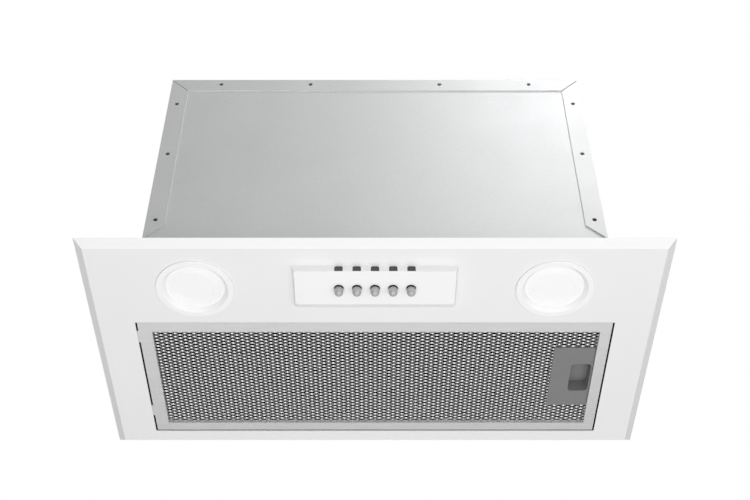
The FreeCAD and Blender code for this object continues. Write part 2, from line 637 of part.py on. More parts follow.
def motor_bracket():
    """A ring on the motor's face with three arms that stand off the scroll's side."""
    face = SCROLL_HALF + SCROLL_SHEET
    plate = (MOTOR_X - ARM_SHEET, MOTOR_X)
    half = ARM_WIDTH / 2
    bracket = rod(ARM_RING_R, fan_point(plate[0], 0, 0), fan_point(plate[1], 0, 0))
    for angle in ARM_ANGLES:
        arm = block(*plate, ARM_RING_R - 4, ARM_LEG_R, -half, half)
        leg = block(face, MOTOR_X, ARM_LEG_R - ARM_SHEET, ARM_LEG_R, -half, half)
        foot = block(face, face + ARM_SHEET, ARM_LEG_R - ARM_SHEET, ARM_LEG_R + ARM_FOOT, -half, half)
        limb = arm.fuse([leg, foot])
        limb.rotate(V(0, 0, 0), X_AXIS, angle)
        limb.translate(fan_point(0, 0, 0))
        bracket = bracket.fuse(limb)
    bracket = drill(bracket, ARM_RING_BORE_R, (fan_point(plate[0], 0, 0), fan_point(plate[1], 0, 0)))
    feet = [(fan_point(face, y, z), fan_point(face + ARM_SHEET, y, z)) for y, z in arm_points(FOOT_SCREW_R)]
    ring = [(fan_point(plate[0], y, z), fan_point(plate[1], y, z)) for y, z in arm_points(MOTOR_SCREW_R)]
    return screw_holes(bracket, SMALL_SCREW_R, *feet, *ring).removeSplitter()


def motor_screws():
    """Three screws through the bracket's feet and three into the motor's face."""
    screws = []
    foot_face = SCROLL_HALF + SCROLL_SHEET + ARM_SHEET
    for y, z in arm_points(FOOT_SCREW_R):
        screws.append(screw(fan_point(SCROLL_HALF - 2, y, z), fan_point(foot_face, y, z), SMALL_SCREW_R))
    for y, z in arm_points(MOTOR_SCREW_R):
        head = fan_point(MOTOR_X - ARM_SHEET, y, z)
        screws.append(screw(fan_point(MOTOR_X + 8, y, z), head, SMALL_SCREW_R))
    return screws


def motor_capacitor():
    """A round can with two tags on top."""
    body = rod(CAP_R, V(CAP_X, CAP_Y, CAP_Z0), V(CAP_X, CAP_Y, CAP_Z1))
    for x in (CAP_X - 5, CAP_X + 5):
        body = body.fuse(block(x - 0.4, x + 0.4, CAP_Y - 3, CAP_Y + 3, CAP_Z1, CAP_Z1 + 8))
    return body


def capacitor_clip():
    """A strap round the capacitor with two ears on the housing's left side."""
    wall = -(BOX_HALF_X - SHEET)
    low, high = V(CAP_X, CAP_Y, CLIP_Z0), V(CAP_X, CAP_Y, CLIP_Z1)
    bore = rod(CAP_R + 0.3, low, high)
    strap = rod(CAP_R + 0.3 + CLIP_SHEET, low, high)
    ears = block(wall, wall + CLIP_SHEET, CAP_Y - 32, CAP_Y + 32, CLIP_Z0, CLIP_Z1)
    post = block(wall, CAP_X - CAP_R, CAP_Y - 6, CAP_Y + 6, CLIP_Z0, CLIP_Z1)
    return strap.fuse([ears, post]).cut(bore).removeSplitter()


# ---------------------------------------------------------------- electrical box on the roof

def term_screw_places():
    return [(TERM_X0 + 8, TERM_Y1 - 8), (TERM_X1 - 8, TERM_Y0 + 8)]


def term_wire_place():
    return (TERM_X0 + TERM_X1) / 2, TERM_Y0 + TERM_WIRE_IN


def terminal_box():
    """An open box with two bosses for its lid's screws."""
    high, wall = BOX_TOP + TERM_HEIGHT, TERM_WALL
    floor = BOX_TOP + wall
    box = rounded_block(TERM_X0, TERM_X1, TERM_Y0, TERM_Y1, BOX_TOP, high, 4)
    inside = (TERM_X0 + wall, TERM_X1 - wall, TERM_Y0 + wall, TERM_Y1 - wall)
    box = box.cut(rounded_block(*inside, floor, high, 2.5))
    box = box.fuse([rod(4.0, start, end) for start, end in upright_spans(lid_screw_places(), floor, high)])
    box = screw_holes(box, FINE_SCREW_R, *upright_spans(lid_screw_places(), high - 12, high))
    box = screw_holes(box, SMALL_SCREW_R, *upright_spans(term_screw_places(), BOX_TOP, floor))
    box = drill(box, WIRE_HOLE_R, *upright_spans([term_wire_place()], BOX_TOP, floor))
    return screw_holes(box, GLAND_R, (gland_axis(TERM_X0), gland_axis(TERM_X0 + wall))).removeSplitter()


def gland_axis(x):
    return V(x, (TERM_Y0 + TERM_Y1) / 2, BOX_TOP + TERM_HEIGHT / 2)


def lid_screw_places():
    return [(TERM_X0 + 6.5, TERM_Y0 + 6.5), (TERM_X1 - 6.5, TERM_Y1 - 6.5)]


def terminal_box_lid():
    low, high = BOX_TOP + TERM_HEIGHT, BOX_TOP + TERM_HEIGHT + TERM_WALL
    lid = rounded_block(TERM_X0, TERM_X1, TERM_Y0, TERM_Y1, low, high, 4)
    lid = lid.makeChamfer(0.8, [e for e in lid.Edges if abs(e.CenterOfMass.z - high) < 0.01])
    return screw_holes(lid, FINE_SCREW_R, *upright_spans(lid_screw_places(), low, high))


def lid_screws():
    high = BOX_TOP + TERM_HEIGHT + TERM_WALL
    return [screw(V(x, y, high - 12), V(x, y, high), FINE_SCREW_R) for x, y in lid_screw_places()]


def roof_screws():
    """The screws through the roof that hold the scroll's brackets, the lamp driver and the terminal box."""
    low = BOX_TOP - 6
    hung = upright_spans(bracket_screw_places() + driver_screw_places(), low, BOX_TOP)
    stood = upright_spans(term_screw_places(), low, BOX_TOP + TERM_WALL)
    return [screw(tip, head, SMALL_SCREW_R) for tip, head in hung + stood]


def terminal_block():
    """Three wire ports in a row."""
    x0, x1 = TERM_X0 + 30, TERM_X0 + 66
    y0, y1 = TERM_Y1 - 30, TERM_Y1 - 12
    low, high = BOX_TOP + TERM_WALL, BOX_TOP + TERM_WALL + 14
    ports = [(x0 + 6 + 12 * i, (y0 + y1) / 2) for i in range(3)]
    return drill(block(x0, x1, y0, y1, low, high), 3.0, *upright_spans(ports, low + 5, high))


def cable_gland():
    """Nut, body and dome on the side of the terminal box, bored right through."""
    wall, inner_end, outer_end = TERM_X0, TERM_X0 + 8, TERM_X0 - 18
    body = rod(GLAND_R, gland_axis(inner_end), gland_axis(wall))
    corners = [gland_axis(wall) + V(0, *polar(GLAND_NUT_R, math.radians(60 * i))) for i in range(6)]
    hexagon = prism(corners, V(-GLAND_HEX, 0, 0))
    dome_start, dome_r = wall - GLAND_HEX, 9.5
    profile = ((0, dome_start), (dome_r, dome_start), (dome_r, wall - 13), (6.5, outer_end), (0, outer_end))
    body = body.fuse([hexagon, turned(profile, gland_axis(0), X_AXIS)])
    body = drill(body, GLAND_BORE_R, (gland_axis(inner_end), gland_axis(outer_end)))
    inside = wall + TERM_WALL
    nut = pipe(GLAND_NUT_R, GLAND_R + 0.02, gland_axis(inside), gland_axis(inside + 3))
    return [body.removeSplitter(), nut]


def driver_screw_places():
    middle = sum(DRIVER_Y) / 2
    return [(DRIVER_X[0] + 5, middle), (DRIVER_X[1] - 5, middle)]


def lamp_driver():
    """The lamps' power supply, hung under the roof by two ears."""
    roof = BOX_TOP - SHEET
    x0, x1 = DRIVER_X
    body = rounded_block(x0 + 10, x1 - 10, *DRIVER_Y, roof - DRIVER_DROP, roof, 3)
    ears = block(x0, x1, DRIVER_Y[0] + 10, DRIVER_Y[1] - 10, roof - DRIVER_EAR, roof)
    body = body.fuse(ears).removeSplitter()
    return screw_holes(body, SMALL_SCREW_R, *upright_spans(driver_screw_places(), roof - DRIVER_EAR, roof))


# ---------------------------------------------------------------- lamps

def lamp_centre(x):
    return V(x, LAMP_Y, 0)


def lamp_bezel(x):
    """A flat proud ring with a cone down to the lens, on a sleeve through the fascia."""
    low = FACE_Z - LAMP_PROUD
    profile = (
        (LAMP_RING_IN_R, low),
        (LAMP_RING_R - 0.5, low),
        (LAMP_RING_R, low + 0.5),
        (LAMP_RING_R, FACE_Z),
        (LAMP_SLEEVE_R, FACE_Z),
        (LAMP_SLEEVE_R, LAMP_SLEEVE_TOP),
        (LAMP_SLEEVE_IN_R, LAMP_SLEEVE_TOP),
        (LAMP_SLEEVE_IN_R, LAMP_SEAT_Z),
        (LAMP_LIP_R, LAMP_SEAT_Z),
        (LAMP_LIP_R, LAMP_LIP_Z),
    )
    return turned(profile, lamp_centre(x), Z_AXIS)


def lamp_lens(x):
    """A stepped disc with fine ridges round its face."""
    face = [(0, LAMP_LENS_Z)]
    for r in LENS_RIDGES:
        face.append((r - LENS_RIDGE_HALF, LAMP_LENS_Z))
        face.append((r, LAMP_LENS_Z - LENS_RIDGE))
        face.append((r + LENS_RIDGE_HALF, LAMP_LENS_Z))
    step = [
        (LAMP_LENS_R, LAMP_LENS_Z),
        (LAMP_LENS_R, LAMP_SEAT_Z),
        (LAMP_FLANGE_R, LAMP_SEAT_Z),
        (LAMP_FLANGE_R, LAMP_MODULE_Z),
        (0, LAMP_MODULE_Z),
    ]
    return turned(face + step, lamp_centre(x), Z_AXIS)


def lamp_module(x):
    """The light source, a round body with a ribbed heat sink on its back."""
    body_r, rib_r, groove_r = 28.4, 24.0, 20.0
    profile = [(0, LAMP_MODULE_Z), (body_r, LAMP_MODULE_Z), (body_r, 6.0), (rib_r, 6.0)]
    for z in (8.0, 12.0):
        profile += [(rib_r, z), (groove_r, z), (groove_r, z + 2), (rib_r, z + 2)]
    profile += [(rib_r, 16.0), (0, 16.0)]
    return turned(profile, lamp_centre(x), Z_AXIS)


def lamp_clips():
    """Two leaf springs on each lamp's sleeve, which grip the back of the fascia."""
    clips = []
    leaf, half_width = 0.6, 4.0
    sleeve, rest = LAMP_SLEEVE_R + 0.3, FASCIA_TOP + 0.1
    outline = (
        (sleeve, 9.0),
        (sleeve + leaf, 9.0),
        (sleeve + leaf, 2.0),
        (sleeve + 8, rest + 0.7),
        (sleeve + 11, rest + leaf),
        (sleeve + 11, rest),
        (sleeve + 7.5, rest),
        (sleeve, 1.6),
    )
    for x in (-LAMP_X, LAMP_X):
        for side in (-1, 1):
            corners = [V(x + side * r, LAMP_Y - half_width, z) for r, z in outline]
            clips.append(prism(corners, V(0, 2 * half_width, 0)))
    return clips


# ---------------------------------------------------------------- controls

def button_x(i):
    return (i - (BUTTONS - 1) / 2) * BUTTON_PITCH


def control_window(x, y0, y1):
    """An upright slot with rounded upper corners."""
    half = WINDOW_WIDTH / 2
    body = block(x - half, x + half, y0, y1, WINDOW_LOW, WINDOW_HIGH)
    upper = [e for e in body.Edges if abs(e.CenterOfMass.z - WINDOW_HIGH) < 0.01]
    return body.makeFillet(WINDOW_CORNER, [e for e in upper if abs(e.tangentAt(e.FirstParameter).y) > 0.9])


def control_outline(z, wall, ramp_wall):
    """The box's section at a height, set in by the walls, with its two rear corners cut."""
    rise = (z - CTRL_BOTTOM) / (FACE_Z - CTRL_BOTTOM)
    x = CTRL_HALF_X + rise * CTRL_DRAFT - wall
    front, rear = CTRL_FRONT + wall, CTRL_REAR + rise * CTRL_RAMP - ramp_wall
    cut_x, cut_y = x - CTRL_CORNER, rear - CTRL_CORNER
    corners = ((-x, front), (x, front), (x, cut_y), (cut_x, rear), (-cut_x, rear), (-x, cut_y), (-x, front))
    return Part.makePolygon([V(px, py, z) for px, py in corners])


def boss_places():
    """Where the two screws clamp the control box to the plate behind the fascia."""
    return [(-BOSS_X, BUTTON_Y), (BOSS_X, BUTTON_Y)]


def control_box():
    """A moulded cover with button holes, light slots in its front and two screw bosses."""
    plate = CTRL_BOTTOM + CTRL_WALL
    shell = Part.makeLoft([control_outline(z, 0, 0) for z in (CTRL_BOTTOM, FACE_Z)], True, True)
    hollow = [control_outline(z, CTRL_WALL, CTRL_RAMP_WALL) for z in (plate, FACE_Z)]
    shell = shell.cut(Part.makeLoft(hollow, True, True))
    bosses = upright_spans(boss_places(), plate, FASCIA_TOP)
    shell = shell.fuse([rod(BOSS_R, start, end) for start, end in bosses])
    shell = screw_holes(shell, FINE_SCREW_R, *upright_spans(boss_places(), plate + 1, FASCIA_TOP))
    buttons = [(button_x(i), BUTTON_Y) for i in range(BUTTONS)]
    shell = drill(shell, BUTTON_HOLE_R, *upright_spans(buttons, CTRL_BOTTOM, plate))
    slots = [control_window(x, CTRL_FRONT, CTRL_FRONT + CTRL_WALL) for x, _ in buttons]
    return shell.cut(slots).removeSplitter()


def indicator_windows():
    """Five smoked inserts that fill the front slots, each with a wider back behind the wall."""
    inserts = []
    low = CTRL_BOTTOM + CTRL_WALL
    y0, y1 = CTRL_FRONT + CTRL_WALL, CTRL_FRONT + CTRL_WALL + INSERT_DEPTH
    for i in range(BUTTONS):
        x = button_x(i)
        tongue = control_window(x, CTRL_FRONT + INSERT_RECESS, y0)
        back = block(x - 5, x + 5, y0, y1, low, FACE_Z)
        inserts.append(tongue.fuse(back).removeSplitter())
    return inserts


def push_button(i):
    """A grooved, round-nosed cap on a neck, a stop behind the face and a plunger into its switch."""
    x = button_x(i)
    stop = CTRL_BOTTOM + CTRL_WALL + 0.1
    neck, ring, groove, nose = [CTRL_BOTTOM - d for d in (NECK_DEPTH, RING_DEPTH, GROOVE_DEPTH, NOSE_DEPTH)]
    profile = (
        (0, nose),
        (NOSE_R, nose),
        (NOSE_R, groove),
        (GROOVE_R, groove),
        (GROOVE_R, ring),
        (RING_R, ring),
        (RING_R, neck),
        (NECK_R, neck),
        (NECK_R, stop),
        (STOP_R, stop),
        (STOP_R, stop + 1),
        (PLUNGER_R, stop + 1),
        (PLUNGER_R, PLUNGER_TOP),
        (0, PLUNGER_TOP),
    )
    body = turned(profile, V(x, BUTTON_Y, 0), Z_AXIS)
    return body.fuse(Part.makeSphere(NOSE_R, V(x, BUTTON_Y, nose))).removeSplitter()


def switch_body(i, z0, z1):
    """The block a switch fills between two heights."""
    x, half_x, half_y = button_x(i), SWITCH_HALF_X, SWITCH_HALF_Y
    return block(x - half_x, x + half_x, BUTTON_Y - half_y, BUTTON_Y + half_y, z0, z1)


def switch_bodies():
    """Five push switches, each bored for its button's plunger."""
    bodies = []
    bore_top = PLUNGER_TOP + BUTTON_TRAVEL + 1
    for i in range(BUTTONS):
        bore = upright_spans([(button_x(i), BUTTON_Y)], SWITCH_LOW, bore_top)
        bodies.append(drill(switch_body(i, SWITCH_LOW, SWITCH_HIGH), PLUNGER_R + 0.1, *bore))
    return bodies


def switch_bracket():
    """The plate behind the fascia that carries the switches and clamps the control box."""
    low, high = FASCIA_TOP, FASCIA_TOP + SWITCH_PLATE
    plate = block(-SWITCH_PLATE_X, SWITCH_PLATE_X, CTRL_FRONT - 2, CTRL_REAR + 2, low, high)
    plate = plate.cut([switch_body(i, low, high) for i in range(BUTTONS)])
    return screw_holes(plate, FINE_SCREW_R, *upright_spans(boss_places(), low, high))


def control_screws():
    spans = upright_spans(boss_places(), CTRL_BOTTOM + 4, FASCIA_TOP + SWITCH_PLATE)
    return [screw(tip, head, FINE_SCREW_R) for tip, head in spans]


def switch_board():
    """A circuit board across the switches, with a plug on its back."""
    x, top = button_x(BUTTONS - 1) + 14, SWITCH_HIGH + BOARD_SHEET
    board = block(-x, x, BUTTON_Y - 15, BUTTON_Y + 15, SWITCH_HIGH, top)
    return board.fuse(block(x - 12, x - 3, BUTTON_Y - 8, BUTTON_Y + 8, top, top + 7.4))


# ---------------------------------------------------------------- grease filter

def rail_section(width):
    """A folded rail's section as (inwards, up) points: face, inner lip, back flange and outer wall."""
    t, back = RAIL_SHEET, width - RAIL_BACK_SHORT
    return (
        (0, FACE_Z),
        (width, FACE_Z),
        (width, MESH_Z),
        (width - t, MESH_Z),
        (width - t, FACE_Z + t),
        (t, FACE_Z + t),
        (t, RAIL_TOP - t),
        (back, RAIL_TOP - t),
        (back, RAIL_TOP),
        (0, RAIL_TOP),
    )


def filter_frame():
    """Four folded rails round the filter, mitred where they meet, with a slot for the latch's nose."""
    x, y0, y1 = FILTER_HALF_X, FILTER_FRONT, FILTER_REAR
    left, right, front, rear = -x + RAIL_LEFT, x - RAIL_RIGHT, y0 + RAIL_FRONT, y1 - RAIL_REAR
    outer = ((-x, y0), (x, y0), (x, y1), (-x, y1))
    inner = ((left, front), (right, front), (right, rear), (left, rear))
    along_x, along_y = V(2 * x, 0, 0), V(0, y1 - y0, 0)
    full = [
        prism([V(-x, y0 + u, z) for u, z in rail_section(RAIL_FRONT)], along_x),
        prism([V(x - u, y0, z) for u, z in rail_section(RAIL_RIGHT)], along_y),
        prism([V(-x, y1 - u, z) for u, z in rail_section(RAIL_REAR)], along_x),
        prism([V(-x + u, y0, z) for u, z in rail_section(RAIL_LEFT)], along_y),
    ]
    slot = block(x - RAIL_SHEET, x, NOSE_Y0 - 0.6, NOSE_Y1 + 0.6, NOSE_Z0 - 0.3, NOSE_Z1 + 0.3)
    rails = []
    for i, rail in enumerate(full):
        j = (i + 1) % 4
        plan = [V(px, py, FACE_Z) for px, py in (outer[i], outer[j], inner[j], inner[i])]
        rails.append(rail.common(prism(plan, V(0, 0, RAIL_TOP - FACE_Z))).cut(slot))
    return rails


def filter_sheet(z0, z1):
    """A sheet that fills the rails, with a bay cut out for the latch."""
    margin = RAIL_SHEET + 0.2
    x, y0, y1 = FILTER_HALF_X - margin, FILTER_FRONT + margin, FILTER_REAR - margin
    sheet = block(-x, x, y0, y1, z0, z1)
    return sheet.cut(block(LATCH_X0 - 0.1, x, LATCH_Y0 - 0.1, LATCH_Y1 + 0.1, z0, z1))


def filter_tabs():
    """Two angle tabs on the left rail, which rest on the edge of the fascia's opening."""
    wall, low = -FILTER_HALF_X, FASCIA_TOP + 0.3
    tabs = []
    for y in TABS_Y:
        y0, y1 = y - TAB_WIDTH / 2, y + TAB_WIDTH / 2
        leg = block(wall - 0.7, wall, y0, y1, low, RAIL_TOP - 1)
        foot = block(-OPEN_HALF_X - TAB_OUT, wall, y0, y1, low, low + 0.8)
        tabs.append(leg.fuse(foot).removeSplitter())
    return tabs


# ---------------------------------------------------------------- filter latch

def latch_plate():
    """The grey plate round the finger pocket, with walls behind it and two hooked guides."""
    plate = rounded_block(LATCH_X0, LATCH_X1, LATCH_Y0, LATCH_Y1, LATCH_FACE, LATCH_BACK, 1.5)
    pocket = rounded_block(POCKET_X0, POCKET_X1, POCKET_Y0, POCKET_Y1, LATCH_FACE, LATCH_BACK, POCKET_R)
    x0, x1, y0, y1 = LATCH_X0 + 1.5, LATCH_X1, LATCH_Y0, LATCH_Y1
    walls = [
        block(LATCH_X0, LATCH_X0 + LATCH_WALL, y0 + 1.5, y1 - 1.5, LATCH_BACK, PACK_TOP),
        block(x0, x1, y0, y0 + LATCH_WALL, LATCH_BACK, PACK_TOP),
        block(x0, x1, y1 - LATCH_WALL, y1, LATCH_BACK, PACK_TOP),
    ]
    guide_x, hook = LATCH_X0 + GUIDE_START, SLIDE_FLANGE_TOP + GUIDE_GAP
    for near, out in ((POCKET_Y0 - POCKET_WALL, -1), (POCKET_Y1 + POCKET_WALL, 1)):
        outer = near + out * (SLIDE_FLANGE + GUIDE_GAP)
        post = sorted((outer, outer + out * LATCH_WALL))
        lip = sorted((outer, outer - out * GUIDE_LIP))
        walls.append(block(guide_x, x1, *post, LATCH_BACK, hook + LATCH_WALL))
        walls.append(block(guide_x, x1, *lip, hook, hook + LATCH_WALL))
    return plate.cut(pocket).fuse(walls).removeSplitter()


def latch_slider():
    """A cup for a finger, with side flanges that run in the guides and a nose through the rail."""
    low = LATCH_BACK + SLIDE_GAP
    wall = POCKET_WALL
    x0, x1 = POCKET_X0 - wall, POCKET_X1 + wall
    y0, y1 = POCKET_Y0 - wall, POCKET_Y1 + wall
    cup = rounded_block(x0, x1, y0, y1, low, POCKET_TOP + wall, POCKET_R)
    hollow = rounded_block(POCKET_X0, POCKET_X1, POCKET_Y0, POCKET_Y1, low, POCKET_TOP, POCKET_R)
    cup = cup.cut(hollow)
    for near, out in ((y0, -1), (y1, 1)):
        span = sorted((near - out * 0.5, near + out * SLIDE_FLANGE))
        cup = cup.fuse(block(x0 + POCKET_R, x1 - POCKET_R, *span, low, SLIDE_FLANGE_TOP))
    nose = block(x1 - 0.5, OPEN_HALF_X - NOSE_END_GAP, NOSE_Y0, NOSE_Y1, NOSE_Z0, NOSE_Z1)
    return cup.fuse(nose).removeSplitter()


def latch_spring():
    """A coil between the plate's left wall and the cup."""
    length = POCKET_X0 - POCKET_WALL - SPRING_X0 - 2 * SPRING_WIRE - 0.2
    middle_y = (POCKET_Y0 + POCKET_Y1) / 2
    helix = Part.makeHelix(length / SPRING_TURNS, length, SPRING_R)
    section = Part.Wire(Part.makeCircle(SPRING_WIRE, V(SPRING_R, 0, 0), Y_AXIS))
    coil = Part.Wire(helix).makePipeShell([section], True, True)
    coil.rotate(V(0, 0, 0), Y_AXIS, 90)
    coil.translate(V(SPRING_X0 + SPRING_WIRE, middle_y, SPRING_Z))
    return coil


# ---------------------------------------------------------------- build

def build():
    save("fascia_panel", fascia_panel())
    save("plenum_tray", *plenum_tray())
    save("housing_rivets", *housing_rivets())
    save("housing_left", housing_side(-1))
    save("housing_right", housing_side(1))
    save("housing_front", housing_end(-1))
    save("housing_rear", housing_end(1))
    save("housing_top", housing_top())
    save("duct_collar", *duct_collar())
    save("collar_screws", *collar_screws())
    save("damper_pins", *damper_pins())
    save("damper_flap_front", damper_flap(-1))
    save("damper_flap_rear", damper_flap(1))
    save("scroll_wrap", scroll_wrap())
    save("scroll_side_left", scroll_side(-1))
    save("scroll_side_right", scroll_side(1))
    save("inlet_ring_left", inlet_ring(-1))
    save("inlet_ring_right", inlet_ring(1))
    save("scroll_brackets", *scroll_brackets())
    save("impeller", *impeller())
    save("hub_screw", hub_screw())
    save("motor_shaft", motor_shaft())
    save("motor_body", motor_body())
    save("motor_bracket", motor_bracket())
    save("fan_screws", *motor_screws(), *scroll_screws())
    save("motor_capacitor", motor_capacitor())
    save("capacitor_clip", capacitor_clip())
    save("terminal_box", terminal_box())
    save("terminal_box_lid", terminal_box_lid())
    save("lid_screws", *lid_screws())
    save("terminal_block", terminal_block())
    save("cable_gland", *cable_gland())
    save("lamp_driver", lamp_driver())
    save("roof_screws", *roof_screws())
    for name, x in (("left", -LAMP_X), ("right", LAMP_X)):
        save("lamp_bezel_" + name, lamp_bezel(x))
        save("lamp_lens_" + name, lamp_lens(x))
        save("lamp_module_" + name, lamp_module(x))
    save("lamp_clips", *lamp_clips())
    save("control_box", control_box())
    save("indicator_windows", *indicator_windows())
    save("switch_bodies", *switch_bodies())
    save("switch_bracket", switch_bracket())
    save("switch_board", switch_board())
    save("control_screws", *control_screws())
    for i in range(BUTTONS):
        save("button_" + str(i + 1), push_button(i))
    save("filter_frame", *filter_frame())
    save("filter_mesh_front", filter_sheet(MESH_Z, MESH_Z + MESH_SHEET))
    save("filter_core", filter_sheet(MESH_Z + MESH_SHEET + 0.1, PACK_TOP - 1.1))
    save("filter_mesh_back", filter_sheet(PACK_TOP - 1.0, PACK_TOP))
    save("filter_tabs", *filter_tabs())
    save("latch_plate", latch_plate())
    save("latch_slider", latch_slider())
    save("latch_spring", latch_spring())


build()
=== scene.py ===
"""Looks of the under cabinet range hood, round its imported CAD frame. Metres, +Z up, front towards -Y."""

import json
import math

import bmesh
import bpy
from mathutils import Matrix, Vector


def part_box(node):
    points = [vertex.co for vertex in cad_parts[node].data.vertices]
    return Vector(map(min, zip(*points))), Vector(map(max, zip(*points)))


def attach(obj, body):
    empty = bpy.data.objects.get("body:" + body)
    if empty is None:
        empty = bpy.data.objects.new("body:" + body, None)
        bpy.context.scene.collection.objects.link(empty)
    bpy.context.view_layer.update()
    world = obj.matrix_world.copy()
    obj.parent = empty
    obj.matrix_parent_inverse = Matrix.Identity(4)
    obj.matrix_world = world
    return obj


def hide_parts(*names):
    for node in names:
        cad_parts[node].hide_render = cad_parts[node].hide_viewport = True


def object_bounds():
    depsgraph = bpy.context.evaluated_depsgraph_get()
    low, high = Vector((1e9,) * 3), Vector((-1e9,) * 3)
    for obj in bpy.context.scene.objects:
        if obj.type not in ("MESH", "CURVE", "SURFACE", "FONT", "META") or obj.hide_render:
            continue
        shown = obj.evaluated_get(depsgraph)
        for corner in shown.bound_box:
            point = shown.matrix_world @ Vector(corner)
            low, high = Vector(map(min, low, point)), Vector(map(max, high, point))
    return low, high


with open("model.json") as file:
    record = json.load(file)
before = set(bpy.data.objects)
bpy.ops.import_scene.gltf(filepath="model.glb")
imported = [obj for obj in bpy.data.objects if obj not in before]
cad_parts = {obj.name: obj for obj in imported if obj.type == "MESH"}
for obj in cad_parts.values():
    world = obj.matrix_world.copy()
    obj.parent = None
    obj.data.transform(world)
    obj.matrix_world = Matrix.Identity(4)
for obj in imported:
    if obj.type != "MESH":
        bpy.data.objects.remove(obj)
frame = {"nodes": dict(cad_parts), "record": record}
cad_low, cad_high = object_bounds()

# ---------------------------------------------------------------- dimensions, in metres

# expanded foil: its diamonds' pitches along X and Y, then half a hole's length, flat side and width at the
# front foil's pitch; the back foil's holes are scaled up from them
FRONT_PITCH = (0.0090, 0.0045)
BACK_PITCH = (0.0120, 0.0060)
HOLE_TIP, HOLE_SHOULDER, HOLE_HALF = 0.0038, 0.0013, 0.00158
STRAND_TILT = 0.00024
STRAND_THICKNESS = 0.00032
BAY_OVERLAP = 0.002
SAME_POINT = 0.00001

# push buttons: silver up to this height, and near-black painted shade above it for the neck and its gap in
# the hole, with a narrow step between
BUTTON_SHADE_HEIGHT = -0.0148
HALF_STEP = 0.0001

# a noise pattern's usual reach, which a ramp spreads over its two values
NOISE_LOW, NOISE_HIGH = 0.25, 0.75

CAMERA_PLACE = (0.0, -0.8947, -0.7852)
CAMERA_PITCH = 45.76
CAMERA_LENS, SENSOR_WIDTH = 59.5, 36.0

WHITE = (1, 1, 1)
BACKDROP, AMBIENT = 1.0, 0.25
LIGHTS_AIM = (0.0, 0.0, 0.1)
LIGHTS = (
    # name, place, size, power in watts
    ("below", (0.0, -0.1, -1.4), (2.2, 2.2), 18),
    ("front_low", (0.1, -1.4, -1.2), (1.8, 1.0), 6.9),
    ("right_low", (1.6, -0.9, -1.2), (1.2, 1.2), 6.4),
    ("front", (0.2, -2.6, 0.3), (1.8, 1.4), 10.4),
    ("right_high", (0.85, -1.2, 2.65), (1.0, 1.0), 23),
    ("left_high", (-0.6, -1.2, 2.4), (0.8, 0.8), 1.2),
    ("rear_fill", (-1.5, 2.4, 1.4), (2.0, 2.0), 12),
)

# the floor lies below the lowest camera that any pose needs
FLOOR_DROP = 3.0
FLOOR_HALF = 12.0
FLOOR_GLOW = 0.55


# ---------------------------------------------------------------- materials


